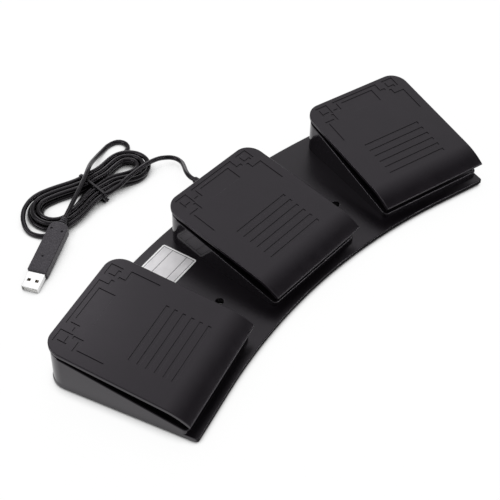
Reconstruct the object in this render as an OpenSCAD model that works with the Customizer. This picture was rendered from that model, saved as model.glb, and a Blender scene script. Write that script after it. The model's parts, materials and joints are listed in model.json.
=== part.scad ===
// Foot switch: three hinged pedals on a fan-shaped housing, with a USB lead tied in a hank.
// Millimetres. Origin on the floor under the middle of the housing; X across, Y to the back, Z up.

/* [Pedals] */
// Width of one pedal
pedal_w = 90; // [84:0.5:96]
// Length of one pedal in plan, back edge to front lip
pedal_len = 103.7; // [98:0.1:110]
// Thickness of the pedal plate
pedal_t = 2.4; // [2:0.1:3]
// Height of the tread at the back edge
pedal_back_h = 37; // [35:0.5:40]
// Slope of the flat tread in degrees
tread_slope = 8.5; // [7.5:0.1:9.5]
// Plan length of the front lip that curls down
curl_len = 19; // [15:0.5:23]
// Outer radius of the curl
curl_r = 48; // [42:1:60]
// Radius of the two back corners
pedal_corner_r = 12.5; // [8:0.5:16]
// Full travel of a pedal in degrees
press_angle = 3.2; // [2:0.1:3.4]

/* [Housing] */
// Angle between neighbouring pedals
fan_angle = 15.1; // [14.6:0.1:17]
// Distance from the fan centre to the back edges of the pedals
fan_r = 548.8; // [530:0.1:570]
// Plate ahead of the pedal lips
flange_front = 3.6; // [2:0.1:8]
// Plate behind the pedals
flange_back = 3.7; // [2:0.1:6]
// Overhang of a pedal beyond the side wall of its wedge
side_overhang = 1.2; // [0.6:0.1:2]
// Overhang of the lip beyond the front wall of its wedge
lip_overhang = 3.4; // [2:0.1:5]
// Wall thickness of the housing
wall_t = 2.2; // [1.8:0.1:2.6]
// Height of the plate between the wedges
plate_top = 5; // [4.6:0.1:6]
// Gap between a pedal and the back of its wedge rim
rim_gap = 2.4; // [1.5:0.1:3.5]
// Slope of the wedge rims in degrees
rim_slope = 13.3; // [12.5:0.1:14]
// Height of the deck at the front wall
deck_front_h = 7; // [6.6:0.1:8]
// Slope of the deck in degrees
deck_slope = 9.7; // [9:0.1:10.4]
// Radius of the front corners of a wedge
wedge_front_r = 3.5; // [2:0.5:6]
// Radius of the back corners of a wedge
wedge_back_r = 12; // [8:0.5:16]
// Radius of the two fixing holes
fixing_r = 2.6; // [2:0.1:3.2]
// Distance of the fixing holes from the fan centre
fixing_fan_r = 484.4; // [478:0.2:490]

/* [Underside] */
// Thickness of the rubber feet
foot_t = 0.8; // [0.6:0.1:1.2]
// Diameter of a rubber foot
foot_d = 12; // [8:0.5:14]
// Thickness of the bottom cover
cover_t = 1.4; // [1.2:0.1:1.8]
// Step of the bottom cover inside the plate edge
cover_inset = 0.8; // [0.4:0.1:1.5]
// Shank radius of a cover screw
screw_r = 1.3; // [1:0.1:1.5]

/* [Mechanism] */
// Diameter of a hinge pin
pin_d = 3; // [2.5:0.1:3.4]
// Outer radius of a hinge knuckle
knuckle_r = 3.6; // [3.2:0.1:4]
// Distance of the hinge from the back edge of the pedal
hinge_inset = 10.8; // [9.5:0.1:13]
// Distance of the return spring ahead of the hinge
spring_arm = 66; // [62:0.5:68]
// Coil diameter of the return spring, middle of the wire
spring_d = 8; // [7:0.1:9]
// Wire diameter of the return spring
wire_d = 0.9; // [0.7:0.1:1.1]
// Number of curls in the return spring
spring_curls = 6; // [5:1:7]
// Distance of the switch ahead of the hinge
switch_arm = 30; // [28:0.5:32]
// Radius of a switch plunger
plunger_r = 1.2; // [1:0.1:1.5]
// Distance of the pedal catches ahead of the hinge
catch_arm = 38; // [36:0.5:41]
// Distance of the bump stops ahead of the hinge
bumper_arm = 72; // [70:0.5:72.5]

/* [Lead] */
// Diameter of the cable
cable_d = 3.5; // [3:0.1:3.6]
// Sideways place of the cable outlet
outlet_x = 10; // [0:1:20]
// Height of the cable outlet
outlet_z = 11; // [10:0.5:12]
// Length of the strain relief outside the wall
relief_len = 21.5; // [16:0.5:26]
// Width of the plug overmould
plug_w = 14; // [13.4:0.1:16]
// Thickness of the plug overmould
plug_t = 8; // [7.4:0.1:8.4]
// Length of the plug overmould
plug_len = 44; // [40:0.5:46]

/* [Hidden] */
$fn = 72;

// Clearances
move_gap = 0.3;
run_fit = 0.05;
side_gap = 0.5;
fuse = 0.3;
tall = 60;

// Plan distances from the fan centre
lip_v = fan_r - pedal_len;
curl_v = lip_v + curl_len;
wall_front = lip_v + lip_overhang;
wall_back = fan_r - 0.3;
wedge_hw = pedal_w / 2 - side_overhang;
plate_front = lip_v - flange_front;
plate_back = fan_r + flange_back;
plate_corner_r = 2;
end_back = wall_back + 0.6;
hinge_v = fan_r - hinge_inset;
spring_v = hinge_v - spring_arm;
switch_v = hinge_v - switch_arm;
catch_v = hinge_v - catch_arm;
bumper_v = hinge_v - bumper_arm;
label_size = [45, 28.2];
label_v = fan_r - label_size[1] / 2 - 2.1;

// The origin lies midway between the front corners of the plate and its back edge
front_y = (plate_front + plate_corner_r) * cos(fan_angle)
    - (wedge_hw - plate_corner_r) * sin(fan_angle) - plate_corner_r;
mid_y = (front_y + plate_back) / 2;

// Heights
function tread_z(v) = pedal_back_h - (fan_r - v) * tan(tread_slope);
function under_z(v) = tread_z(v) - pedal_t / cos(tread_slope);
function rim_z(v) = pedal_back_h - pedal_t - rim_gap - (fan_r - v) * tan(rim_slope);
function deck_z(v) = deck_front_h + (v - wall_front) * tan(deck_slope);
function deck_under(v) = deck_z(v) - wall_t / cos(deck_slope);
cover_top = foot_t + cover_t;
hinge_z = under_z(hinge_v) - knuckle_r + fuse;
ear_r = knuckle_r - fuse - side_gap;
pressed_slope = tread_slope + press_angle;
under_lift = (under_z(hinge_v) - hinge_z) * cos(tread_slope);
function pressed_z(v) = hinge_z + (v - hinge_v) * tan(pressed_slope) + under_lift / cos(pressed_slope);

// The curl is an arc tangent to the tread
curl_end = asin(sin(tread_slope) + curl_len / curl_r);
curl_cv = curl_v + curl_r * sin(tread_slope);
curl_cz = tread_z(curl_v) - curl_r * cos(tread_slope);
curl_steps = 12;
function curl_pt(r, i) = let (a = tread_slope + (curl_end - tread_slope) * i / curl_steps)
    [curl_cv - r * sin(a), curl_cz + r * cos(a)];

// Hinge stations across a pedal
knuckle_u = pedal_w / 4 + 0.5;
knuckle_w = 14;
ear_t = 4;
ear_us = [for (s = [-1, 1], e = [-1, 1]) s * knuckle_u + e * (knuckle_w / 2 + side_gap + ear_t / 2)];
pin_len = 2 * (knuckle_u + knuckle_w / 2 + side_gap + ear_t) + 1;
pin_r = pin_d / 2;

// Return spring between a cup in the deck and a boss under the pedal
cup_floor = 6;
cup_r = spring_d / 2 + wire_d / 2 + 0.8;
boss_r = spring_d / 2 + wire_d / 2 + 0.6;
spring_top = under_z(spring_v - boss_r) - 0.5;
spring_low = cup_floor + wire_d / 2 + 0.02;
spring_high = spring_top - wire_d / 2 - 0.02;

// Catches, bump stops and switch
rib_u = pedal_w / 2 - 14;
catch_u = 20;
catch_w = 6;
catch_t = 2.5;
barb = 2.6;
barb_top = deck_under(catch_v - catch_t / 2 - barb) - move_gap;
bumper_u = 22;
bumper_r = 4;
bumper_t = 2;
bumper_top = pressed_z(bumper_v - bumper_r) - move_gap;
board_t = 1.6;
board_low = cover_top + 2.3;
board_top = board_low + board_t;
switch_size = [12.8, 5.8, 6.5];
switch_top = board_top + switch_size[2];
plunger_top = switch_top + 2;
post_r = 3;
post_low = plunger_top + move_gap;
board_front = switch_v - 12;
board_bolt_u = 15;
board_edge = 4.5;
board_bolt_v = 8;
main_bolt_u = 25;
main_bolt_v = 17;
board_screw_r = 1.1;

// Screws, feet and the wire channel below the plate
cover_screw_u = wedge_hw - 9.8;
foot_u = wedge_hw - 23.8;
cover_screw_at = [for (s = [-1, 1], v = [wall_front + 9.5, wall_back - 13.5]) [s * cover_screw_u, v]];
foot_at = [for (s = [-1, 1], v = [wall_front + 13.5, wall_back - 10.5]) [s * foot_u, v]];
screw_top = cover_top + 3.8;
wire_r = 0.6;
wire_z = cover_top + 0.7;
channel_h = 1.6;
channel_w = 8;
lead_from = atan((catch_u + 7.5) / switch_v);
lead_to = fan_angle - atan((catch_u - 1.5) / switch_v);

// Cable outlet, plug and route of the lead
cable_r = cable_d / 2;
outlet_y = wall_back - mid_y;
tip_y = outlet_y + relief_len;
header_y = hinge_v - 6 - mid_y;
plug_at = [-81.8, tip_y + 40.2, 11.1];
plug_az = 204.2;
plug_tilt = 7.7;
boot_len = 6;
shell_size = [13.5, 12, 4.5];
shell_t = 0.35;

// Stretch from the outlet to the hank, measured from the tip of the strain relief
lead_route = [for (p = [
    [outlet_x, 0, outlet_z], [outlet_x, 4, outlet_z], [13, 11, 10], [18.5, 18.5, 7.6], [22.5, 25.5, 5.6],
    [22.5, 32.5, 5], [17, 37, 6.3], [8.5, 38.6, 8.7], [-1, 38.6, 10.2], [-12, 38.4, 10.5],
    [-22, 38, 10.4], [-30, 37.9, 8.9]]) p + [0, tip_y, 0]];

// Stretch from the hank round its loose loop and over the top to the plug
tail_route = [for (p = [
    [-28, 66.8, 2.6], [-17, 68, 2], [-6, 68.2, 1.85], [5, 67, 1.85], [11.6, 70.8, 1.85],
    [11.6, 78.4, 1.85], [5, 82, 1.85], [-6, 80.5, 2.2], [-17, 76.5, 4.5], [-26, 71.5, 8.2],
    [-34, 65.8, 11.4], [-42, 60.5, 12.3], [-50, 56, 12.5], [-58, 51.8, 12.5], [-66, 47.9, 12.3],
    [-73, 44.3, 12]]) p + [0, tip_y, 0]];

// The hank: turns between two lobes, spiralling in on the top layer and out again on the lower one
hank_at = [-41.5, tip_y + 54.5];
hank_tilt = -6;
hank_from = 0.15;
hank_to = 5.65;
hank_back = 3.15;
hank_step = 4.2;
hank_run = 34;
lobe_left = 8.5;
lobe_right = 6;
waist = 1.2;
waist_len = 20;
waist_right = 13;
low_z = 1.85;
layer = 4;
tie_lift = 1.2;
loose = [6, 6];
run_share = 0.3;
end_share = 0.2;

function smooth(x) = let (c = max(0, min(1, x))) c * c * (3 - 2 * c);
waist_floor = exp(-pow(hank_run / waist_len, 2));
function waist_at(x) = x < 0 ? (exp(-pow(x / waist_len, 2)) - waist_floor) / (1 - waist_floor)
    : 1 - smooth((x - waist_right) / (hank_run - waist_right));
function lobe_at(x) = lobe_left + (lobe_right - lobe_left) * smooth((x + hank_run) / (2 * hank_run));
function run_half(x, k) = lobe_at(x) + (waist - lobe_at(x)) * waist_at(x) + hank_step * k;
// Plan place and lift of a run (side -1 near, 1 far) and of an end (side -1 left, 1 right)
function run_pt(x, k, side) = [x, side * run_half(x, k), tie_lift * waist_at(x)];
function end_pt(g, k, side) = let (
    r = (side < 0 ? lobe_left : lobe_right) + hank_step * k,
    a = (side < 0 ? 270 : 90) - 180 * g)
    [side * hank_run + r * cos(a), r * sin(a), 0];
// The first left end hangs loose and drops to the floor
function loose_pt(g) = let (s = pow(sin(180 * g), 2))
    [-loose[0] * s, -loose[1] * s * (1 - g), -layer * smooth(g / 0.25) * smooth((0.75 - g) / 0.28)];
function hank_flat(t) = let (
    k = abs(t - hank_back),
    f = t - floor(t),
    left = run_share + end_share,
    right = left + run_share)
    f < run_share ? run_pt(hank_run * (1 - 2 * f / run_share), k, -1)
    : f < left ? end_pt((f - run_share) / end_share, k, -1)
        + (t < 1 ? loose_pt((f - run_share) / end_share) : [0, 0, 0])
    : f < right ? run_pt(hank_run * (2 * (f - left) / run_share - 1), k, 1)
    : end_pt((f - right) / end_share, k, 1);
function hank_pt(t) = let (p = hank_flat(t), c = cos(hank_tilt), s = sin(hank_tilt))
    [hank_at[0] + p[0] * c - p[1] * s, hank_at[1] + p[0] * s + p[1] * c,
     low_z + p[2] + layer * (1 - smooth((t - floor(hank_back)) / run_share))];
hank_rings = round((hank_to - hank_from) * 24);
hank_turns = [for (i = [0:hank_rings]) hank_pt(hank_from + (hank_to - hank_from) * i / hank_rings)];
// Both ends leave the waist to the right and turn a little outward (side -1 near, 1 far)
function waist_end(side) = let (a = hank_tilt + 8 * side) cable_r * [cos(a), sin(a), 0];
hank_start = hank_turns[0] + waist_end(-1);
hank_finish = hank_turns[hank_rings] + waist_end(1);
hank_path = concat([hank_start], hank_turns, [hank_finish]);
lead_path = concat(lead_route, [hank_start + waist_end(-1), hank_start]);
plug_dir = [cos(plug_az) * cos(plug_tilt), sin(plug_az) * cos(plug_tilt), -sin(plug_tilt)];
tail_path = concat([hank_finish, hank_finish + waist_end(1)], tail_route,
    [plug_at - plug_dir * cable_d, plug_at]);

// Swept tubes
function unit(a) = a / norm(a);
function heading(p, i) = unit(p[min(i + 1, len(p) - 1)] - p[max(i - 1, 0)]);
function ring(p, i, r, sides) = let (t = heading(p, i), side = unit(cross(t, [0, 0, 1])), up = cross(side, t))
    [for (j = [0:sides - 1]) p[i] + r * (cos(360 * j / sides) * side + sin(360 * j / sides) * up)];
module tube(p, r, sides) {
    last = len(p) - 1;
    points = [for (i = [0:last]) each ring(p, i, r, sides)];
    walls = [for (i = [0:last - 1], j = [0:sides - 1]) let (
        a = i * sides + j, b = i * sides + (j + 1) % sides)
        each [[a, b, a + sides], [b, b + sides, a + sides]]];
    caps = [for (j = [1:sides - 2]) each
        [[0, j + 1, j], [last * sides, last * sides + j, last * sides + j + 1]]];
    polyhedron(points, concat(walls, caps), convexity = 10);
}

// Least gap between turns that are not neighbours, and lengths of the cord
function gap_between(a, b, d) = min([for (p = a, q = b) norm(p - q)]) - d;
function own_gap(p, skip, d) = min([for (i = [0:len(p) - 1], j = [i + skip:1:len(p) - 1]) norm(p[i] - p[j])]) - d;
function path_len(p) = [for (i = [1:len(p) - 1]) norm(p[i] - p[i - 1])] * [for (i = [1:len(p) - 1]) 1];
echo(hank_gap = own_gap(hank_path, 8, cable_d), cord_length = path_len(lead_path) + path_len(hank_path)
    + path_len(tail_path));

// Return spring: closed at both ends, the wire straight for one diameter at each end
spring_rings = spring_curls * 8;
end_pitch = 0.56;
function spring_turn(f) = spring_low + (spring_high - spring_low) * smooth_ends(f);
function smooth_ends(f) = f < 1 / spring_curls ? f * end_pitch
    : f > 1 - 1 / spring_curls ? 1 - (1 - f) * end_pitch
    : end_pitch / spring_curls + (f - 1 / spring_curls) * (1 - 2 * end_pitch / spring_curls) / (1 - 2 / spring_curls);
spring_coil = [for (i = [0:spring_rings]) let (a = 45 * i)
    [spring_d / 2 * cos(a), spring_d / 2 * sin(a), spring_turn(i / spring_rings)]];
spring_path = concat([spring_coil[0] - [0, wire_d, 0]], spring_coil,
    [spring_coil[spring_rings] + [0, wire_d, 0]]);
echo(spring_gap = own_gap(spring_path, 6, wire_d));

// Placing
module fan(side) {
    translate([0, -mid_y, 0]) rotate([0, 0, -side * fan_angle]) children();
}
module wedges() {
    for (side = [-1:1]) fan(side) children();
}
module across(w) {
    rotate([90, 0, 90]) linear_extrude(height = w, center = true) children();
}
module crossbar(r, w) {
    rotate([0, 90, 0]) cylinder(r = r, h = w, center = true);
}
module at_plug() {
    translate(plug_at) rotate([0, 0, plug_az]) rotate([0, plug_tilt, 0]) children();
}

// Outline of a block with its own radii at the front and at the back
module corners(hw, v0, v1, front_r, back_r) {
    translate([-hw + front_r, v0]) square([2 * (hw - front_r), v1 - v0 - back_r]);
    translate([-hw + back_r, v0 + front_r]) square([2 * (hw - back_r), v1 - v0 - front_r]);
    translate([-hw, v0 + front_r]) square([2 * hw, v1 - v0 - front_r - back_r]);
    for (s = [-1, 1]) {
        translate([s * (hw - front_r), v0 + front_r]) circle(r = front_r);
        translate([s * (hw - back_r), v1 - back_r]) circle(r = back_r);
    }
}
module wedge_outline(inset) {
    corners(wedge_hw - inset, wall_front + inset, wall_back - inset,
        max(wedge_front_r - inset, 0.6), max(wedge_back_r - inset, 0.6));
}
// Everything below a sloping line given by its heights at the front and back walls
module below(z0, z1) {
    across(4 * pedal_w) polygon([[wall_front, -1], [wall_back, -1], [wall_back, z1], [wall_front, z0]]);
}
module below_deck() {
    below(deck_z(wall_front), deck_z(wall_back));
}
module below_deck_under() {
    below(deck_under(wall_front), deck_under(wall_back));
}

// Plan outline of the plate: an arc between the outer pedals, straight beyond them
module plate_outline(inset) {
    difference() {
        circle(r = plate_back - inset, $fn = 360);
        circle(r = plate_front + inset, $fn = 360);
        for (s = [-1, 1]) rotate(-s * fan_angle) translate([s > 0 ? 0 : -1000, -1000]) square([1000, 2000]);
        translate([-1000, -2000]) square([2000, 2000]);
    }
    for (m = [0, 1]) mirror([m, 0]) rotate(fan_angle) plate_end(inset);
}
// The straight end under the left pedal, its back edge drawn in to the corner of the wedge
module plate_end(inset) {
    turn_u = wedge_hw - wedge_back_r;
    intersection() {
        union() {
            corners(wedge_hw - inset, plate_front + inset, end_back - inset, plate_corner_r, wedge_back_r - inset);
            polygon([[0, wall_front], [0, plate_back - inset], [-turn_u, end_back - inset - 1], [-turn_u, wall_front]]);
        }
        translate([-wedge_hw, plate_front - 1]) square([wedge_hw, tall * 3]);
    }
}
module fixing_holes() {
    for (s = [-1, 1]) translate([0, -mid_y, -1]) rotate([0, 0, s * fan_angle / 2])
        translate([0, fixing_fan_r, 0]) cylinder(r = fixing_r, h = tall);
}
module wire_channels() {
    for (s = [-1, 1]) translate([0, -mid_y, cover_top - 1]) rotate([0, 0, 90 + s * (lead_from + lead_to) / 2])
        rotate([0, 0, -(lead_to - lead_from) / 2 - 0.6]) rotate_extrude(angle = lead_to - lead_from + 1.2, $fn = 720)
            translate([switch_v - channel_w / 2, 0]) square([channel_w, channel_h + 1]);
}

// Housing
module wedge_shell() {
    difference() {
        intersection() {
            translate([0, 0, cover_top]) linear_extrude(height = tall) wedge_outline(0);
            below(rim_z(wall_front), rim_z(wall_back));
        }
        difference() {
            linear_extrude(height = tall) wedge_outline(wall_t);
            below_deck();
        }
        intersection() {
            linear_extrude(height = tall) wedge_outline(wall_t);
            below_deck_under();
        }
    }
}
module hollow() {
    intersection() {
        translate([0, 0, -1]) linear_extrude(height = tall) wedge_outline(wall_t);
        below_deck_under();
    }
}
// Posts that stand under the deck, each from its own height
module hung(at, r, z0) {
    intersection() {
        translate([at[0], at[1], z0]) cylinder(r = r, h = tall);
        below_deck();
    }
}
module hinge_ears() {
    for (u = ear_us) difference() {
        union() {
            translate([u, hinge_v, hinge_z]) crossbar(ear_r, ear_t);
            translate([u, 0, 0]) across(ear_t) polygon([[hinge_v - ear_r, hinge_z],
                [hinge_v - ear_r - 3, deck_under(hinge_v) + 0.6], [hinge_v + ear_r + 1, deck_under(hinge_v) + 0.6],
                [hinge_v + ear_r, hinge_z]]);
        }
        translate([u, hinge_v, hinge_z]) crossbar(pin_r + run_fit, ear_t + 1);
    }
}
module board_posts(us, v) {
    for (u = us) difference() {
        hung([u, v], 3, board_top);
        translate([u, v, board_top - 1]) cylinder(r = board_screw_r + run_fit, h = 6);
    }
}
module wedge_fittings(main) {
    for (at = cover_screw_at) difference() {
        hung(at, 3.5, cover_top);
        translate([at[0], at[1], cover_top - 1]) cylinder(r = screw_r + run_fit, h = screw_top - cover_top + 1.2);
    }
    board_posts(main ? [-main_bolt_u, main_bolt_u] : [-board_bolt_u, board_bolt_u],
        switch_v + (main ? main_bolt_v : board_bolt_v));
    difference() {
        hung([0, spring_v], cup_r + 1.4, cup_floor - 1.4);
        translate([0, spring_v, cup_floor]) cylinder(r = cup_r, h = tall);
    }
    for (s = [-1, 1]) translate([s * bumper_u, bumper_v, deck_under(bumper_v) + 0.6])
        cylinder(r = bumper_r, h = bumper_top - bumper_t - deck_under(bumper_v) - 0.6);
    hinge_ears();
}
module deck_openings() {
    translate([0, spring_v, cup_floor]) cylinder(r = cup_r, h = tall);
    translate([0, switch_v, deck_under(switch_v) - 2]) cylinder(r = post_r + 1.2, h = tall);
    for (s = [-1, 1]) translate([s * catch_u - catch_w / 2 - 0.6, catch_v - catch_t / 2 - 0.6, board_top])
        cube([catch_w + 1.2, catch_t + 2, tall]);
}
module base_housing() {
    color("#262528") difference() {
        union() {
            difference() {
                translate([0, -mid_y, cover_top]) linear_extrude(height = plate_top - cover_top) plate_outline(0);
                wedges() hollow();
            }
            wedges() difference() {
                wedge_shell();
                deck_openings();
            }
            for (side = [-1:1]) fan(side) wedge_fittings(side == 0);
        }
        fixing_holes();
        wire_channels();
        translate([outlet_x, outlet_y - wall_t - 2, outlet_z]) rotate([-90, 0, 0])
            cylinder(r = cable_r + 1.3, h = wall_t + 4);
    }
}

// Bottom cover with its countersunk screws and rubber feet
module cover_screw(grow) {
    translate([0, 0, foot_t]) cylinder(r1 = screw_r + cover_t + grow, r2 = screw_r + grow, h = cover_t);
    translate([0, 0, cover_top - 0.1]) cylinder(r = screw_r + grow, h = screw_top - cover_top + 0.1);
}
module bottom_cover() {
    color("#1d1c1e") difference() {
        translate([0, -mid_y, foot_t]) linear_extrude(height = cover_t) plate_outline(cover_inset);
        fixing_holes();
        wedges() for (at = cover_screw_at) translate([at[0], at[1], 0]) cover_screw(run_fit);
    }
}
module cover_screws() {
    color("#3a3a3c") wedges() for (at = cover_screw_at) translate([at[0], at[1], 0]) cover_screw(0);
}
module rubber_feet() {
    color("#151515") wedges() for (at = foot_at) translate([at[0], at[1], 0]) cylinder(d = foot_d, h = foot_t);
}

// Pedals
module tread() {
    intersection() {
        across(pedal_w + 2) polygon(concat([[fan_r + 1, under_z(fan_r + 1)], [fan_r + 1, tread_z(fan_r + 1)]],
            [for (i = [0:curl_steps]) curl_pt(curl_r, i)],
            [for (i = [curl_steps:-1:0]) curl_pt(curl_r - pedal_t, i)]));
        linear_extrude(height = tall) corners(pedal_w / 2, lip_v - 5, fan_r, 1, pedal_corner_r);
    }
}
module under_rib(u) {
    v0 = curl_v + 1;
    v1 = hinge_v - 8;
    translate([u, 0, 0]) across(1.6) polygon([[v0, under_z(v0) - 3], [v1, under_z(v1) - 3],
        [v1, under_z(v1) + fuse], [v0, under_z(v0) + fuse]]);
}
module catch(u) {
    front = catch_v - catch_t / 2;
    translate([u, 0, 0]) across(catch_w) polygon([[front, barb_top - 2.4], [front + catch_t, barb_top - 2.4],
        [front + catch_t, under_z(catch_v) + fuse], [front, under_z(catch_v) + fuse], [front, barb_top],
        [front - barb, barb_top], [front - barb, barb_top - 0.6]]);
}
module drop_post(v, r, z0) {
    translate([0, v, z0]) cylinder(r = r, h = tread_z(v) - pedal_t / 2 - z0);
}
module pedal_knuckles() {
    for (s = [-1, 1]) translate([s * knuckle_u, 0, 0]) {
        translate([0, hinge_v, hinge_z]) crossbar(knuckle_r, knuckle_w);
        across(knuckle_w) polygon([[hinge_v - knuckle_r, hinge_z], [hinge_v + knuckle_r, hinge_z],
            [hinge_v + knuckle_r, under_z(hinge_v + knuckle_r) + fuse],
            [hinge_v - knuckle_r - 2, under_z(hinge_v - knuckle_r - 2) + fuse]]);
    }
}
module pedal() {
    color("#2f2e31") difference() {
        union() {
            tread();
            for (s = [-1, 1]) under_rib(s * rib_u);
            for (s = [-1, 1]) catch(s * catch_u);
            drop_post(spring_v, boss_r, spring_top);
            drop_post(spring_v, spring_d / 2 - wire_d / 2 - 0.6, spring_top - 3);
            drop_post(switch_v, post_r, post_low);
            pedal_knuckles();
        }
        translate([0, hinge_v, hinge_z]) crossbar(pin_r + run_fit, pedal_w);
    }
}
module left_pedal() {
    fan(-1) pedal();
}
module centre_pedal() {
    fan(0) pedal();
}
module right_pedal() {
    fan(1) pedal();
}

// Hinge pins
module hinge_pin() {
    color("#b8b9bc") translate([0, hinge_v, hinge_z]) crossbar(pin_r, pin_len);
}
module left_hinge_pin() {
    fan(-1) hinge_pin();
}
module centre_hinge_pin() {
    fan(0) hinge_pin();
}
module right_hinge_pin() {
    fan(1) hinge_pin();
}

// Return springs
module return_spring() {
    color("#c4c5c8") translate([0, spring_v, 0]) tube(spring_path, wire_d / 2, 6);
}
module left_return_spring() {
    fan(-1) return_spring();
}
module centre_return_spring() {
    fan(0) return_spring();
}
module right_return_spring() {
    fan(1) return_spring();
}

// Switches
module switch_body() {
    color("#1b1b1c") translate([0, switch_v, board_top]) difference() {
        translate([-switch_size[0] / 2, -switch_size[1] / 2, 0]) cube(switch_size);
        translate([0, 0, 1.6]) cylinder(r = plunger_r + 0.1, h = switch_size[2]);
    }
}
module switch_plunger() {
    color("#c23b2e") translate([0, switch_v, board_top + 4]) cylinder(r = plunger_r, h = plunger_top - board_top - 4);
}
module left_switch_body() {
    fan(-1) switch_body();
}
module centre_switch_body() {
    fan(0) switch_body();
}
module right_switch_body() {
    fan(1) switch_body();
}
module left_switch_plunger() {
    fan(-1) switch_plunger();
}
module centre_switch_plunger() {
    fan(0) switch_plunger();
}
module right_switch_plunger() {
    fan(1) switch_plunger();
}

// Boards, their screws and parts
module board(hw, v0, v1, us, v) {
    color("#1f5b36") difference() {
        translate([-hw, v0, board_low]) cube([2 * hw, v1 - v0, board_t]);
        for (u = us) translate([u, v, board_low - 1]) cylinder(r = board_screw_r + 0.2, h = board_t + 2);
    }
}
module switch_board() {
    board(board_bolt_u + board_edge, board_front, switch_v + board_bolt_v + board_edge,
        [-board_bolt_u, board_bolt_u], switch_v + board_bolt_v);
}
module left_switch_board() {
    fan(-1) switch_board();
}
module right_switch_board() {
    fan(1) switch_board();
}
module controller_board() {
    fan(0) board(main_bolt_u + board_edge, board_front, hinge_v - 4, [-main_bolt_u, main_bolt_u],
        switch_v + main_bolt_v);
}
module board_screw() {
    translate([0, 0, board_low - 1.5]) cylinder(r = 2.2, h = 1.5);
    translate([0, 0, board_low - 0.1]) cylinder(r = board_screw_r, h = board_t + 4.6);
}
module board_screws() {
    color("#8d8e91") for (side = [-1:1]) fan(side) {
        u = side == 0 ? main_bolt_u : board_bolt_u;
        v = switch_v + (side == 0 ? main_bolt_v : board_bolt_v);
        for (s = [-1, 1]) translate([s * u, v, 0]) board_screw();
    }
}
module controller_chip() {
    color("#18181a") fan(0) translate([-14, switch_v + 12, board_top]) {
        translate([-5, -2, 0.2]) cube([10, 4, 1.5]);
        for (i = [0:7], s = [-1, 1]) translate([-4.45 + 1.27 * i - 0.2, s * 2.5 - 0.6, 0]) cube([0.4, 1.2, 0.6]);
    }
}
module cable_header() {
    color("#e4e0d4") translate([outlet_x - 5, header_y - 5, board_top])
        cube([10, 5, outlet_z + cable_r + 0.6 - board_top]);
}
module switch_lead(side) {
    color("#b03a2e") for (r = [switch_v - 1.4, switch_v + 1.4]) translate([0, -mid_y, 0]) {
        rotate([0, 0, 90 + (side < 0 ? lead_from : -lead_to)]) rotate_extrude(angle = lead_to - lead_from, $fn = 720)
            translate([r, wire_z]) circle(r = wire_r, $fn = 24);
        for (a = [lead_from, lead_to]) rotate([0, 0, 90 - side * a]) translate([r, 0, wire_z - wire_r - 0.05])
            cylinder(r = wire_r + 0.15, h = board_low - wire_z + wire_r + 0.05, $fn = 24);
    }
}
module left_switch_lead() {
    switch_lead(-1);
}
module right_switch_lead() {
    switch_lead(1);
}

// Bump stops and label
module pedal_bumpers() {
    color("#141414") wedges() for (s = [-1, 1]) translate([s * bumper_u, bumper_v, bumper_top - bumper_t])
        cylinder(r = bumper_r, h = bumper_t);
}
module label() {
    color("#dcd8dc") translate([0, -mid_y, plate_top]) rotate([0, 0, fan_angle / 2]) linear_extrude(height = 0.25)
        corners(label_size[0] / 2, label_v - label_size[1] / 2, label_v + label_size[1] / 2, 1.5, 1.5);
}

// Strain relief and the cable end inside the housing
module strain_relief() {
    grooves = [for (i = [0:4]) 6 + 2.6 * i];
    flare = cable_r + 1.9;
    tip = cable_r + 0.75;
    color("#222124") translate([outlet_x, outlet_y, outlet_z]) rotate([-90, 0, 0]) difference() {
        rotate_extrude() polygon([[cable_r + run_fit, -wall_t - 1.6], [cable_r + 2.8, -wall_t - 1.6],
            [cable_r + 2.8, -wall_t], [cable_r + 1.25, -wall_t], [cable_r + 1.25, 0], [cable_r + 2.5, 0],
            [cable_r + 2.5, 1.6], [flare, 1.6], [tip, relief_len], [cable_r + run_fit, relief_len]]);
        for (z = grooves) translate([0, 0, z]) rotate_extrude()
            translate([cable_r + 0.7, 0]) square([3, 1.1]);
    }
}
module cable_tail() {
    color("#1b1a1c") translate([outlet_x, header_y, outlet_z]) rotate([-90, 0, 0])
        cylinder(r = cable_r, h = tip_y - header_y);
}

// Cord
module cable_lead() {
    color("#1b1a1c") tube(lead_path, cable_r, 8);
}
module cable_hank() {
    color("#1b1a1c") tube(hank_path, cable_r, 6);
}
module plug_lead() {
    color("#1b1a1c") tube(tail_path, cable_r, 8);
}
module hank_tie() {
    near = run_half(0, hank_back - hank_from) + cable_r + move_gap;
    far = run_half(0, hank_to - hank_back) + cable_r + move_gap;
    low = low_z + tie_lift - cable_r - move_gap;
    high = low_z + tie_lift + layer + cable_r + move_gap;
    color("#101010") translate([hank_at[0], hank_at[1], 0]) rotate([0, 0, hank_tilt])
        translate([0, (far - near) / 2, 0]) across(3) difference() {
            corners((near + far) / 2 + 0.8, low - 0.8, high + 0.8, 3, 3);
            corners((near + far) / 2, low, high, 2.2, 2.2);
        }
}

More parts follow.
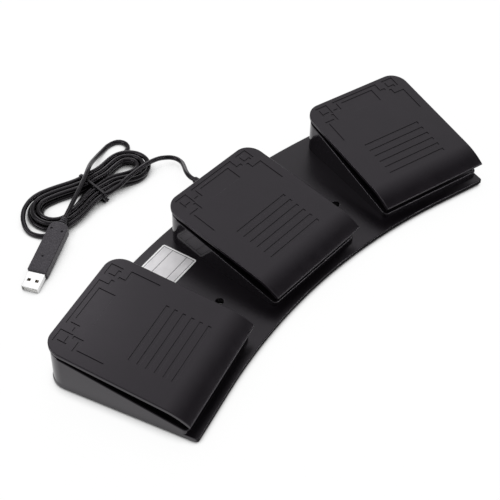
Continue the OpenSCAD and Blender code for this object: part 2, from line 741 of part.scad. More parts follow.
// Plug
module plug_body() {
    rib = [for (i = [0:2]) 0.8 + 1.8 * i];
    color("#333236") at_plug() {
        translate([boot_len, 0, -plug_t / 2]) rotate([0, 0, -90]) linear_extrude(height = plug_t)
            corners(plug_w / 2, 0, plug_len, 5, 0.8);
        rotate([0, 90, 0]) difference() {
            cylinder(r1 = cable_r + 0.6, r2 = cable_r + 1.6, h = boot_len);
            for (z = rib) translate([0, 0, z]) rotate_extrude() translate([cable_r + 0.3, 0]) square([4, 0.8]);
        }
    }
}
module plug_shell() {
    color("#d9dadd") at_plug() translate([boot_len + plug_len, 0, 0]) difference() {
        translate([0, -shell_size[1] / 2, -shell_size[2] / 2]) cube(shell_size);
        translate([-1, -shell_size[1] / 2 + shell_t, -shell_size[2] / 2 + shell_t])
            cube([shell_size[0] + 2, shell_size[1] - 2 * shell_t, shell_size[2] - 2 * shell_t]);
        for (s = [-1, 1]) translate([6, s * 2.9 - 1.2, 0]) cube([2.2, 2.4, 4]);
    }
}
module plug_insert() {
    color("#efefec") at_plug() translate([boot_len + plug_len, -shell_size[1] / 2 + shell_t + 0.15,
        -shell_size[2] / 2 + shell_t]) cube([shell_size[0] - 1.2, shell_size[1] - 2 * shell_t - 0.3, 1.85]);
}
module plug_contacts() {
    color("#c9a24a") at_plug() for (y = [-3.5, -1, 1, 3.5]) translate([boot_len + plug_len + 3, y - 0.6,
        -shell_size[2] / 2 + shell_t + 1.85]) cube([8, 1.2, 0.2]);
}

base_housing();
bottom_cover();
rubber_feet();
cover_screws();
left_pedal();
centre_pedal();
right_pedal();
left_hinge_pin();
centre_hinge_pin();
right_hinge_pin();
left_return_spring();
centre_return_spring();
right_return_spring();
left_switch_body();
centre_switch_body();
right_switch_body();
left_switch_plunger();
centre_switch_plunger();
right_switch_plunger();
left_switch_board();
controller_board();
right_switch_board();
board_screws();
controller_chip();
cable_header();
left_switch_lead();
right_switch_lead();
pedal_bumpers();
label();
strain_relief();
cable_tail();
cable_lead();
cable_hank();
plug_lead();
hank_tie();
plug_body();
plug_shell();
plug_insert();
plug_contacts();
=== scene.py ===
"""Foot pedal switch: three pedals on one fan-shaped housing, with its hanked cable and plug."""

import json
import math

import bmesh
import bpy
from mathutils import Matrix, Vector


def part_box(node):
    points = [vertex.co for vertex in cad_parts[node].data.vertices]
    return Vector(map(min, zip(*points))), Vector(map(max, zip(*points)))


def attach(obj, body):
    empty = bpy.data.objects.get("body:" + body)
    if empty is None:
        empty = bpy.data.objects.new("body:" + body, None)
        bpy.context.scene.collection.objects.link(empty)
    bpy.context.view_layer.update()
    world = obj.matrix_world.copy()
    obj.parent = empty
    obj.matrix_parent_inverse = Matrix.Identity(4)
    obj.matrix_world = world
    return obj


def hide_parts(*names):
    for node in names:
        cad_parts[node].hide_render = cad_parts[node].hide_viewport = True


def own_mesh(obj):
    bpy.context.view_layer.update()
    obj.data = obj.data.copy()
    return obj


bl_info = {
    "name": "Foot Pedal Switch",
    "version": (1, 0, 0),
    "blender": (4, 5, 0),
    "location": "View3D > Sidebar > Foot Pedal",
    "description": "Models and finishes a three-pedal foot switch around its CAD frame",
    "category": "Object",
}

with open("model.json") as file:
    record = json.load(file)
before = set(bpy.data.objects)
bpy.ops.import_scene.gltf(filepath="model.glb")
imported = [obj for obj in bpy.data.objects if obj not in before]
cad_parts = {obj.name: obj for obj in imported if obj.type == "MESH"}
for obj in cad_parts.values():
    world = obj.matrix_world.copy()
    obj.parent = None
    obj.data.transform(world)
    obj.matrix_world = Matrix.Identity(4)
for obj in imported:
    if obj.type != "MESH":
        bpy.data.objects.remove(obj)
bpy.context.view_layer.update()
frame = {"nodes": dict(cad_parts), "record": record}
MM = 0.001
X, Z = Vector((1, 0, 0)), Vector((0, 0, 1))

# Plan of the fan, in millimetres from its centre
FAN_ANGLE = math.radians(15.1)
FAN_R = 548.8
SIDES = {"left": -1, "centre": 0, "right": 1}
PEDAL_LEN = 103.7
PEDAL_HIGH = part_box("centre_pedal")[1]
TREAD_SLOPE = math.radians(8.5)
MID_Y = FAN_R - PEDAL_HIGH.y / MM
FAN_CENTRE = Vector((0, -MID_Y * MM, 0))

# Near enough to a surface, in millimetres, and to a place, in metres
NEAR = 0.05
SAME_PLACE = 1e-6

# Plate of the housing, and how far its back edge is drawn out
PLATE_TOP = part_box("label")[0].z / MM
PLATE_FRONT = FAN_R - PEDAL_LEN - 3.6
PLATE_BACK = FAN_R + 3.7
BACK_EDGE = 1.6

# Rims of the wedges: heights, slope, drop at the back, and the room inside the walls
RIM_BACK, RIM_FRONT = 32.2, 8.5
RIM_SLOPE = math.radians(13.3)
RIM_DROP = 1
WALL_BACK = 548.5
WEDGE_HALF = 45
ROOM_HALF, ROOM_FRONT, ROOM_BACK = 35, 455, 541

# Grooves of a tread: across from its middle, and out from the fan's centre
FRET_HOOK = ((19.4, 544.1), (19.4, 537.4), (23.4, 537.4))
FRET_SPIRAL = ((32.6, 537.4), (27.4, 537.4), (27.4, 544.1), (35.4, 544.1), (35.4, 537.6))
FRET_SIDE = ((27.9, 534.4), (27.9, 529.9), (36.4, 529.9), (36.4, 511))
PANEL_V, PANEL_WIDTH, PANEL_DEPTH = 535.9, 29, 11.8
GRIP_FIRST, GRIP_PITCH, GRIP_HALF = 468, 6, 24
GROOVE_LIFT = 1

# Label, its printed frame and the rules across it
LABEL_SIZE = Vector((45, 28.2, 0.25))
LABEL_V = FAN_R - LABEL_SIZE.y / 2 - 2.1
LABEL_CORNER = 1.5
INSET_X, INSET_Y = 1.6, 1.5
RULE_ROWS = (-6.7, 5.3)
RULE_WIDTH, INK = 0.4, 0.02

# Screws and feet of the bottom cover, placed in a wedge's own plan
SCREW_PLACES = [(u, v) for u in (-34, 34) for v in (458, 535)]
SCREW_R, SHANK_R = 2.7, 1.3
CROSS_LEN, CROSS_WIDTH, CROSS_DEPTH = 2.6, 0.55, 1.6
FOOT_PLACES = [(u, v) for u in (-20, 20) for v in (462, 538)]
FOOT_R = 6

# Cable outlet, and the routes of both leads from the strain relief's tip, in millimetres
HEADER_Y, TIP_Y = (p.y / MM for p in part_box("cable_tail"))
OUTLET = Vector((10, WALL_BACK - MID_Y, 11))
LEAD_ROUTE = (
    (10, 0, 11), (10, 4, 11), (13, 11, 10), (18.5, 18.5, 7.6), (22.5, 25.5, 5.6), (22.5, 32.5, 5),
    (17, 37, 6.3), (8.5, 38.6, 8.7), (-1, 38.6, 10.2), (-12, 38.4, 10.5), (-22, 38, 10.4), (-30, 37.9, 8.9))
TAIL_ROUTE = (
    (-28, 66.8, 2.6), (-17, 68, 2), (-6, 68.2, 1.85), (5, 67, 1.85), (11.6, 70.8, 1.85), (11.6, 78.4, 1.85),
    (5, 82, 1.85), (-6, 80.5, 2.2), (-17, 76.5, 4.5), (-26, 71.5, 8.2), (-34, 65.8, 11.4), (-42, 60.5, 12.3),
    (-50, 56, 12.5), (-58, 51.8, 12.5), (-66, 47.9, 12.3), (-73, 44.3, 12))
PLUG_AT = Vector((-81.8, TIP_Y + 40.2, 11.1))
PLUG_TURN = Matrix.Rotation(math.radians(204.2), 4, "Z") @ Matrix.Rotation(math.radians(7.7), 4, "Y")
PLUG_DIR = PLUG_TURN.to_3x3() @ X

# Plug: its overmould, dimples, shell and ribbed boot
PLUG_SIZE = Vector((44, 14, 7.4))
PLUG_SHOULDER, PLUG_ROUND, SHELL_ROUND = 5, 0.7, 0.12
DIMPLES = ((12.5, -4.3), (13.5, 4), (37, -0.9))
DIMPLE_RINGS = ((-0.8, 0.7), (-0.6, 0.9), (1, 1))
BOOT_LEN, BOOT_RIBS, RIB_PITCH, RIB_FLARE = 6, 3, 1.8, 0.3

# Strain relief: collar as heights and sizes over the cable's radius, tip and grooves
COLLAR = (
    (-3.8, 2.8), (-2.2, 2.8), (-2.2, 1.25), (0, 1.25), (0, 2.2), (0.3, 2.5), (1.4, 2.5), (1.6, 2.3), (2, 1.9))
RELIEF_TIP, RELIEF_NECK = 0.75, 0.7
RELIEF_GROOVES, GROOVE_FIRST, GROOVE_PITCH = 5, 6, 2.6

# The hank: turns between two lobes, inwards on the top layer and out again on the lower one
HANK_AT = Vector((-41.5, TIP_Y + 54.5, 0))
HANK_TILT = math.radians(-6)
HANK_FROM, HANK_BACK, HANK_TO = 0.15, 3.15, 5.65
HANK_STEP = 4.2
HANK_RUN = 34
LOBE_LEFT, LOBE_RIGHT = 8.5, 6
WAIST, WAIST_LEN, WAIST_RIGHT = 1.2, 20, 13
LOW_Z, LAYER, TIE_LIFT = 1.85, 4, 1.2
LOOSE = (6, 6)
RUN_SHARE, END_SHARE = 0.3, 0.2
END_LEAN = math.radians(8)
RINGS_PER_TURN = 48

# Wire tie: share of its CAD width, and the two twisted ends
TIE_SHARE, TIE_ROUND, TIE_GAP = 0.6, 0.3, 0.9
TIE_REACH = Vector((0.35, -0.75, -0.45))
TIE_LEN, TIE_TWISTS, TIE_STEPS, TIE_OPEN = 1.9, 1.5, 24, 5
TIE_R, TIE_FLARE = 0.5, 0.4

# Return springs, in the wedge's own plan
SPRING_V = 472
SPRING_R = 4
WIRE_R = 0.45
SPRING_CURLS, STEPS_PER_CURL = 6, 24
END_PITCH = 0.56
POST_SLIM = 0.8

# Plastics: refraction, the faint violet they mirror, and the housing's roughness
PLASTIC_IOR = 1.53
CAST = "#fcf5ff"
WALL_ROUGHNESS, TOP_ROUGHNESS = 0.14, 0.3

# Camera: angles in degrees, lens and sensor in millimetres, target and distance in metres
CAMERA_TURN, CAMERA_HEIGHT, CAMERA_ROLL = -50.645, 45.199, 1.581
CAMERA_LENS, CAMERA_SENSOR = 86.82, 36
CAMERA_TARGET = Vector((-9.855, 15.53, 0)) * MM
CAMERA_FAR = 0.84756

# Lamps that light the object: place, target and size in metres, and watts
SOFTBOXES = {
    "overhead_softbox": ((0.5, 0.9, 1.3), (0, 0.1, 0), (2.2, 1.6), 14),
    "left_softbox": ((-1.5, 0.4, 0.7), (0, 0, 0), (1.0, 0.8), 4),
}

# Lamps that only mirrors see
STRIPS = {
    "front_strip": ((0.76, -0.99, 0.63), (0, 0, 0), (1.2, 0.12), 3.2),
    "back_strip": ((0.76, 1.09, 0.43), (0, 0, 0), (0.8, 0.5), 2.5),
    "plug_card": ((-0.032, 0.19, 0.228), (-0.12, 0.1, 0.012), (0.16, 0.16), 0.076),
    "left_strip": ((-1.05, 0.61, 0.69), (0, 0, 0), (0.9, 0.3), 4),
}

# Card, floor and sky, in metres, and the floor's painted shade in millimetres
CARD_PLACE, CARD_SIZE = (0.78, -0.4, 1.09), (1.8, 1.4, 1)
CARD_TURN = math.radians(35.6)
FLOOR_SIZE, WHITE = 12, 1.02
FLOOR_DROP, SHADOW_REACH, SHADE_WIDTH = 0.02, 12, 8
SKY_FILL, SKY_SOFTBOX = 0.55, (0.52, 0.2, 0.83)


def linear(code):
    """The linear colour of an sRGB hex code, with alpha."""
    parts = [int(code[i:i + 2], 16) / 255 for i in (1, 3, 5)]
    return tuple(c / 12.92 if c <= 0.04045 else ((c + 0.055) / 1.055) ** 2.4 for c in parts) + (1.0,)


def size(label, text, value):
    """A length that can be changed, its default in millimetres."""
    return bpy.props.FloatProperty(
        name=label, description=text, default=value * MM, min=0, unit="LENGTH", precision=5)


def colour(label, text, code):
    """A colour that can be changed, its default a hex code."""
    return bpy.props.FloatVectorProperty(
        name=label, description=text, default=linear(code), size=4, min=0, max=1, subtype="COLOR")


class PedalSizes(bpy.types.PropertyGroup):
    """Sizes of what is cut into the pedals and of their edges"""
    edge_round: size("Edge rounding", "Radius along the upper edge of a pedal", 0.8)
    groove_width: size("Groove width", "Width of the fret and grip grooves", 2.2)
    groove_depth: size("Groove depth", "Depth of the fret and grip grooves", 0.5)
    groove_round: size("Groove rounding", "Radius along the lips of the grooves", 0.15)
    rim_round: size("Rim rounding", "Radius along the upper edges of the housing", 0.65)
    grip_rows: bpy.props.IntProperty(
        name="Grip rows", description="Number of grip grooves on a pedal", default=6, min=1, max=8)


class CordSizes(bpy.types.PropertyGroup):
    """Sizes of the cable"""
    diameter: size("Diameter", "Outer diameter of the cable", 3.5)


class FinishColours(bpy.types.PropertyGroup):
    """Colours of the finishes that show"""
    pedal: colour("Pedals", "Satin black of the pedals", "#110d12")
    housing: colour("Housing", "Gloss black of the housing", "#0e0b0f")
    cable: colour("Cable", "Black of the cable jacket", "#0a080b")
    plug: colour("Plug", "Dark grey of the plug's overmould", "#363438")
    label: colour("Label", "White of the label film", "#ffffff")


def add(tree, kind, inputs=None, **settings):
    """Adds a node with its settings; an input is a value or a socket to link from."""
    node = tree.nodes.new(kind)
    for name, value in settings.items():
        setattr(node, name, value)
    for name, value in (inputs or {}).items():
        if isinstance(value, bpy.types.NodeSocket):
            tree.links.new(value, node.inputs[name])
        else:
            node.inputs[name].default_value = value
    return node


def new_material(name):
    """An empty material, its tree and its object coordinates."""
    material = bpy.data.materials.new(name)
    material.use_nodes = True
    tree = material.node_tree
    tree.nodes.clear()
    return material, tree, add(tree, "ShaderNodeTexCoord").outputs["Object"]


def finish_surface(tree, **inputs):
    """Ends a material's tree in one shader."""
    shader = add(tree, "ShaderNodeBsdfPrincipled", {k.replace("_", " "): v for k, v in inputs.items()})
    add(tree, "ShaderNodeOutputMaterial", {"Surface": shader.outputs["BSDF"]})


def tones(tree, place, tone, patch_mm, light=1.1):
    """A colour that drifts from a darker to a lighter tone over patches of that size."""
    drift = add(tree, "ShaderNodeTexNoise", {"Vector": place, "Scale": 1 / (patch_mm * MM), "Detail": 3.0})
    ramp = add(tree, "ShaderNodeValToRGB", {"Fac": drift.outputs["Fac"]})
    for stop, position, factor in zip(ramp.color_ramp.elements, (0.35, 0.65), (0.9, light)):
        stop.position = position
        stop.color = scaled(tone, factor)
    return ramp.outputs["Color"]


def grain(tree, place, grain_mm, depth_mm, strength):
    """A bump of fine grain, as a mould's texture leaves it."""
    noise = add(tree, "ShaderNodeTexNoise", {"Vector": place, "Scale": 1 / (grain_mm * MM), "Detail": 2.0})
    bump = add(tree, "ShaderNodeBump", {
        "Height": noise.outputs["Fac"], "Distance": depth_mm * MM, "Strength": strength})
    return bump.outputs["Normal"]


def rubbed(tree, place, patch_mm, low, high):
    """A roughness that changes over patches, as handling leaves it."""
    noise = add(tree, "ShaderNodeTexNoise", {"Vector": place, "Scale": 1 / (patch_mm * MM), "Detail": 4.0})
    spread = add(tree, "ShaderNodeMapRange", {
        "Value": noise.outputs["Fac"], "From Min": 0.3, "From Max": 0.7, "To Min": low, "To Max": high})
    return spread.outputs["Result"]


def scaled(colour_value, factor):
    """A colour made darker or lighter."""
    return tuple(min(1.0, c * factor) for c in tuple(colour_value)[:3]) + (1.0,)


def moulded(name, tone, roughness, grain_mm, depth_mm, ior=PLASTIC_IOR, spread=0.05, patch_mm=14):
    """A moulded plastic: nearly even in colour, with the mould's grain and a little uneven gloss."""
    material, tree, place = new_material(name)
    finish_surface(
        tree, IOR=ior, Specular_Tint=linear(CAST),
        Base_Color=tones(tree, place, tone, patch_mm),
        Roughness=rubbed(tree, place, patch_mm / 2, roughness - spread, roughness + spread),
        Normal=grain(tree, place, grain_mm, depth_mm, 0.35))
    return material


def moulded_housing(tone):
    """Moulded ABS: its walls from a polished mould, and a fine etch where it faces up."""
    material, tree, place = new_material("polished_abs")
    facing = add(tree, "ShaderNodeSeparateXYZ", {"Vector": add(tree, "ShaderNodeTexCoord").outputs["Normal"]})
    gloss = add(tree, "ShaderNodeMapRange", {
        "Value": facing.outputs["Z"], "From Min": 0.8, "From Max": 0.95,
        "To Min": WALL_ROUGHNESS, "To Max": TOP_ROUGHNESS})
    finish_surface(
        tree, IOR=PLASTIC_IOR, Specular_Tint=linear(CAST),
        Base_Color=tones(tree, place, tone, 14),
        Roughness=gloss.outputs["Result"],
        Normal=grain(tree, place, 0.7, 0.006, 0.35))
    return material


def bare_metal(name, code, roughness, streak_mm, spread=0.06):
    """A bare metal: its colour from reflection alone, with fine drawn or rolled streaks."""
    material, tree, place = new_material(name)
    finish_surface(
        tree, Metallic=1.0,
        Base_Color=tones(tree, place, linear(code), streak_mm * 4, light=1.0),
        Roughness=rubbed(tree, place, streak_mm, roughness - spread, roughness + spread),
        Normal=grain(tree, place, streak_mm, 0.01, 0.2))
    return material


def board_laminate():
    """Solder-masked glass laminate: a green film over the glass weave, which shows as faint squares."""
    material, tree, place = new_material("solder_masked_laminate")
    weave_mm = 0.5
    weave = add(tree, "ShaderNodeTexChecker", {
        "Vector": place, "Scale": 1 / (weave_mm * MM),
        "Color1": linear("#14492b"), "Color2": linear("#195534")})
    finish_surface(
        tree, Base_Color=weave.outputs["Color"],
        Roughness=rubbed(tree, place, 4, 0.22, 0.34),
        Normal=grain(tree, place, weave_mm, 0.02, 0.2))
    return material


def make_finishes(colours):
    """Every material of the object by its slot in the record."""
    return {
        # ABS from a fine-etched mould: satin, it spreads the light from above into a soft grey
        "pedal_abs": moulded("etched_abs", colours.pedal, 0.3, 0.45, 0.01, spread=0.02),
        # Walls glossy enough to mirror the label, on a plate that mirrors softly
        "housing_abs": moulded_housing(colours.housing),
        # ABS from a sandblasted mould, dull where it is not seen
        "cover_abs": moulded("blasted_abs", linear("#161517"), 0.5, 0.6, 0.04),
        # Die-cut nitrile: dull and slightly dusty
        "foot_rubber": moulded("nitrile_rubber", linear("#131313"), 0.8, 0.8, 0.05, ior=1.52),
        # Steel blackened in a hot bath: dark with a low oily shine
        "black_screws": bare_metal("blackened_steel", "#3b3b3d", 0.38, 0.8),
        # Drawn spring wire and ground pins, bright along the drawing
        "steel": bare_metal("drawn_steel", "#b9bbbf", 0.26, 0.4),
        # Glass-filled nylon of a snap switch: near black and dry
        "switch_plastic": moulded("filled_nylon", linear("#1b1b1c"), 0.46, 0.5, 0.03),
        # Acetal of a switch button: waxy red
        "plunger_plastic": moulded("red_acetal", linear("#b8382c"), 0.35, 0.6, 0.01, ior=1.48),
        "board_laminate": board_laminate(),
        # Moulded epoxy of a chip: matt charcoal with a sparkle of filler
        "chip_epoxy": moulded("moulded_epoxy", linear("#1c1c1e"), 0.55, 0.3, 0.02),
        # Natural nylon of a cable header: milky white
        "nylon": moulded("natural_nylon", linear("#ded9cc"), 0.4, 0.8, 0.01),
        # Thin PVC of hook-up wire: smooth with a light bloom
        "wire_pvc": moulded("red_wire_pvc", linear("#7c1f1c"), 0.36, 0.6, 0.01),
        # Coated paper label: bright, with a soft even sheen
        "label_film": moulded("coated_label", colours.label, 0.42, 0.9, 0.006, ior=1.46),
        # Extruded PVC jacket: satin, faintly uneven along its length
        "cable_pvc": moulded("jacket_pvc", colours.cable, 0.2, 1.1, 0.002, ior=1.4, spread=0.02),
        # Plastic-coated wire of the tie: dull black
        "tie_wire": moulded("tie_pvc", linear("#101011"), 0.42, 0.8, 0.02),
        # Soft PVC overmould from a leather-grained mould: grey, and duller than the jacket
        "plug_pvc": moulded("overmould_pvc", colours.plug, 0.5, 1.6, 1.6, ior=1.45, patch_mm=4),
        # Nickel plate over pressed steel: a bright, near-white mirror
        "plug_steel": bare_metal("nickel_plate", "#ebebeb", 0.16, 0.9, spread=0.03),
        # White polyester of the plug's tongue
        "plug_plastic": moulded("white_polyester", linear("#e8e8e4"), 0.38, 0.6, 0.01),
        # Flash gold over nickel on the contacts
        "gold_contact": bare_metal("flash_gold", "#d6b05c", 0.22, 0.3),
        # Grey tint printed inside the label's frame
        "tint": moulded("printed_tint", linear("#e8e6e8"), 0.5, 0.4, 0.002),
        # Printing ink, flat and black
        "ink": moulded("printing_ink", linear("#2a2a2c"), 0.6, 0.4, 0.002),
    }


finishes = {}


def only(obj):
    """Selects one object alone and makes it active."""
    bpy.ops.object.select_all(action="DESELECT")
    obj.select_set(True)
    bpy.context.view_layer.objects.active = obj
    return obj


def edit(obj):
    """Goes into edit mode with one object."""
    only(obj)
    bpy.ops.object.mode_set(mode="EDIT")


def leave():
    """Goes back to object mode and gives the edited object."""
    bpy.ops.object.mode_set(mode="OBJECT")
    return bpy.context.view_layer.objects.active


def pick(obj, kind, test):
    """In edit mode, selects the vertices, edges or faces that pass a test."""
    bpy.ops.mesh.select_mode(type=kind)
    bpy.ops.mesh.select_all(action="DESELECT")
    mesh = bmesh.from_edit_mesh(obj.data)
    for part in {"VERT": mesh.verts, "EDGE": mesh.edges, "FACE": mesh.faces}[kind]:
        if test(part):
            part.select_set(True)
    mesh.select_flush_mode()
    bmesh.update_edit_mesh(obj.data)


def middle(edge):
    return (edge.verts[0].co + edge.verts[1].co) / 2


def crest(edge, angle=50):
    """True on a sharp outer edge."""
    return len(edge.link_faces) == 2 and edge.is_convex and edge.calc_face_angle(0) > math.radians(angle)


def round_edges(obj, width, segments, test=crest):
    """Rounds the edges that pass a test."""
    edit(obj)
    pick(obj, "EDGE", test)
    bpy.ops.mesh.bevel(
        offset=width, offset_type="OFFSET", segments=segments, profile=0.5, affect="EDGES",
        clamp_overlap=False)
    leave()


def resize(obj, value, centre, test):
    """Resizes the vertices that pass a test about a centre."""
    edit(obj)
    pick(obj, "VERT", test)
    bpy.ops.transform.resize(value=value, center_override=centre)
    leave()


def started(name):
    """Names the primitive that was just added."""
    obj = bpy.context.view_layer.objects.active
    obj.name = obj.data.name = name
    return obj


def apply_place(obj, matrix=Matrix.Identity(4)):
    """Moves an object by a matrix and puts its place into its mesh."""
    only(obj)
    obj.matrix_world = matrix @ obj.matrix_world
    bpy.ops.object.transform_apply(location=True, rotation=True, scale=True)
    return obj


def copied(obj, name):
    """A copy with a mesh of its own."""
    only(obj)
    bpy.ops.object.duplicate(linked=False)
    return started(name)


def joined(parts, name):
    """Several objects as one."""
    bpy.ops.object.select_all(action="DESELECT")
    for part in parts:
        part.select_set(True)
    bpy.context.view_layer.objects.active = parts[0]
    bpy.ops.object.join()
    return started(name)


def cut(obj, cutter):
    """Cuts one object out of another."""
    only(obj)
    knife = obj.modifiers.new("cut", "BOOLEAN")
    knife.operation = "DIFFERENCE"
    knife.solver = "EXACT"
    knife.object = cutter
    bpy.ops.object.modifier_apply(modifier=knife.name)
    bpy.data.objects.remove(cutter)


def outward(obj):
    """Merges doubles and turns every face outwards."""
    edit(obj)
    bpy.ops.mesh.select_all(action="SELECT")
    bpy.ops.mesh.remove_doubles(threshold=0.002 * MM)
    bpy.ops.mesh.normals_make_consistent(inside=False)
    return leave()


def merged_copy(node, name, whole=True):
    """A copy of a CAD node with its triangles merged and, where wanted, its flat faces made whole."""
    copy = bpy.data.objects.new(name, frame["nodes"][node].data.copy())
    copy.data.name = name
    copy.data.materials.clear()
    bpy.context.scene.collection.objects.link(copy)
    edit(copy)
    bpy.ops.mesh.select_all(action="SELECT")
    bpy.ops.mesh.remove_doubles(threshold=0.001 * MM)
    bpy.ops.mesh.customdata_custom_splitnormals_clear()
    if whole:
        bpy.ops.mesh.dissolve_limited(angle_limit=math.radians(0.2), delimit={"NORMAL"})
    return leave()


def dress(obj, slot, body, *nodes, angle=30):
    """Gives a piece its finish, its body and the CAD nodes that it stands for."""
    if obj.type == "MESH":
        only(obj)
        bpy.ops.object.shade_smooth_by_angle(angle=math.radians(angle))
        flat = obj.modifiers.new("flat_faces", "WEIGHTED_NORMAL")
        flat.keep_sharp = True
        bpy.ops.object.modifier_apply(modifier=flat.name)
    obj.data.materials.clear()
    obj.data.materials.append(finishes[slot])
    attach(obj, body)
    if nodes:
        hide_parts(*nodes)
    return obj


def lathe(name, profile, sides=32):
    """A round form about Z, extruded ring by ring through pairs of height and radius in millimetres."""
    low, radius = profile[0]
    bpy.ops.mesh.primitive_circle_add(
        vertices=sides, radius=radius * MM, location=(0, 0, low * MM), fill_type="NGON")
    obj = apply_place(started(name))
    edit(obj)
    bpy.ops.mesh.select_all(action="SELECT")
    for (z0, r0), (z1, r1) in zip(profile, profile[1:]):
        bpy.ops.mesh.extrude_region_move(TRANSFORM_OT_translate={"value": (0, 0, (z1 - z0) * MM)})
        bpy.ops.transform.resize(value=(r1 / r0, r1 / r0, 1), center_override=(0, 0, z1 * MM))
    leave()
    return outward(obj)


def block(name, centre, sizes):
    """A box to start from, in millimetres."""
    bpy.ops.mesh.primitive_cube_add(size=1, location=Vector(centre) * MM)
    obj = started(name)
    obj.scale = Vector(sizes) * MM
    return apply_place(obj)


def strip(name, path, width):
    """A flat strip along a right-angled path, extruded corner by corner."""
    place = Vector((*path[0], 0)) * MM
    half = width / 2
    bpy.ops.mesh.primitive_plane_add(size=width, location=place)
    obj = apply_place(started(name))
    edit(obj)
    for here, there in zip(path, path[1:]):
        leg = (Vector((*there, 0)) - Vector((*here, 0))) * MM
        ahead = leg.normalized()
        lead = Vector((*here, 0)) * MM + ahead * half
        for step in (leg - ahead * width, ahead * width):
            pick(obj, "EDGE", lambda e, at=lead: (middle(e) - at).length < SAME_PLACE)
            bpy.ops.mesh.extrude_region_move(TRANSFORM_OT_translate={"value": step})
            lead = lead + step
    return leave()


def thickened(obj, depth):
    """A flat shape made a solid by extruding it down."""
    edit(obj)
    bpy.ops.mesh.select_all(action="SELECT")
    bpy.ops.mesh.extrude_region_move(TRANSFORM_OT_translate={"value": (0, 0, -depth)})
    leave()
    return outward(obj)


def wedge_matrix(side):
    """From a wedge's own plan, with Y out from the fan's centre, to the frame."""
    return Matrix.Translation(FAN_CENTRE) @ Matrix.Rotation(-side * FAN_ANGLE, 4, "Z")


def between_pedals(side):
    """From the plan of a placed wedge at the centre to the place of another wedge."""
    return wedge_matrix(side) @ wedge_matrix(0).inverted()


def smooth(x):
    """A soft step from 0 to 1."""
    c = max(0.0, min(1.0, x))
    return c * c * (3 - 2 * c)


def waist_at(x):
    """How far the tie draws the hank in at a place along it."""
    if x > 0:
        return 1 - smooth((x - WAIST_RIGHT) / (HANK_RUN - WAIST_RIGHT))
    floor = math.exp(-(HANK_RUN / WAIST_LEN) ** 2)
    return (math.exp(-(x / WAIST_LEN) ** 2) - floor) / (1 - floor)


def run_half(x, k):
    """Half the width of the hank at a place along it, on turn k from the innermost."""
    lobe = LOBE_LEFT + (LOBE_RIGHT - LOBE_LEFT) * smooth((x + HANK_RUN) / (2 * HANK_RUN))
    return lobe + (WAIST - lobe) * waist_at(x) + HANK_STEP * k


def hank_run(x, k, side):
    """A place along the near (-1) or far (1) side of the hank."""
    return Vector((x, side * run_half(x, k), TIE_LIFT * waist_at(x)))


def hank_end(g, k, side):
    """A place round the left (-1) or right (1) end of the hank."""
    radius = (LOBE_LEFT if side < 0 else LOBE_RIGHT) + HANK_STEP * k
    a = math.radians((270 if side < 0 else 90) - 180 * g)
    return Vector((side * HANK_RUN + radius * math.cos(a), radius * math.sin(a), 0))


def loose_end(g):
    """The first left end hangs loose and drops to the floor."""
    s = math.sin(math.pi * g) ** 2
    drop = LAYER * smooth(g / 0.25) * smooth((0.75 - g) / 0.28)
    return Vector((-LOOSE[0] * s, -LOOSE[1] * s * (1 - g), -drop))


def hank_point(t):
    """The cable's place after t turns of the hank, in millimetres."""
    k = abs(t - HANK_BACK)
    f = t - math.floor(t)
    left = RUN_SHARE + END_SHARE
    right = left + RUN_SHARE
    if f < RUN_SHARE:
        p = hank_run(HANK_RUN * (1 - 2 * f / RUN_SHARE), k, -1)
    elif f < left:
        g = (f - RUN_SHARE) / END_SHARE
        p = hank_end(g, k, -1) + (loose_end(g) if t < 1 else Vector())
    elif f < right:
        p = hank_run(HANK_RUN * (2 * (f - left) / RUN_SHARE - 1), k, 1)
    else:
        p = hank_end((f - right) / END_SHARE, k, 1)
    p.z += LOW_Z + LAYER * (1 - smooth((t - math.floor(HANK_BACK)) / RUN_SHARE))
    return HANK_AT + Matrix.Rotation(HANK_TILT, 3, "Z") @ p


def waist_end(side):
    """Direction in which an end of the cable leaves the hank's waist, near (-1) or far (1)."""
    return Matrix.Rotation(HANK_TILT + END_LEAN * side, 3, "Z") @ X


def cable_points(diameter):
    """The whole cable from the header inside to the plug, in metres."""
    rings = round((HANK_TO - HANK_FROM) * RINGS_PER_TURN)
    turns = [hank_point(HANK_FROM + (HANK_TO - HANK_FROM) * i / rings) for i in range(rings + 1)]
    tip = Vector((0, TIP_Y, 0))
    inside = [Vector((OUTLET.x, HEADER_Y, OUTLET.z)), OUTLET]
    lead = [Vector(p) + tip for p in LEAD_ROUTE] + [turns[0] + waist_end(-1) * diameter]
    tail = [turns[-1] + waist_end(1) * diameter] + [Vector(p) + tip for p in TAIL_ROUTE]
    plug = [PLUG_AT - PLUG_DIR * diameter, PLUG_AT]
    return [p * MM for p in inside + lead + turns + tail + plug]


def tube(name, points, radius, resolution, rounds):
    """A round wire through points, as one smooth open curve."""
    data = bpy.data.curves.new(name, "CURVE")
    data.dimensions = "3D"
    data.bevel_depth = radius
    data.bevel_resolution = rounds
    data.resolution_u = resolution
    data.use_fill_caps = True
    spline = data.splines.new("BEZIER")
    spline.bezier_points.add(len(points) - 1)
    for knot, place in zip(spline.bezier_points, points):
        knot.co = place
        knot.handle_left_type = knot.handle_right_type = "AUTO"
    obj = bpy.data.objects.new(name, data)
    bpy.context.scene.collection.objects.link(obj)
    return obj


def as_mesh(obj):
    """A wire turned into a mesh."""
    only(obj)
    bpy.ops.object.convert(target="MESH")
    return outward(bpy.context.view_layer.objects.active)


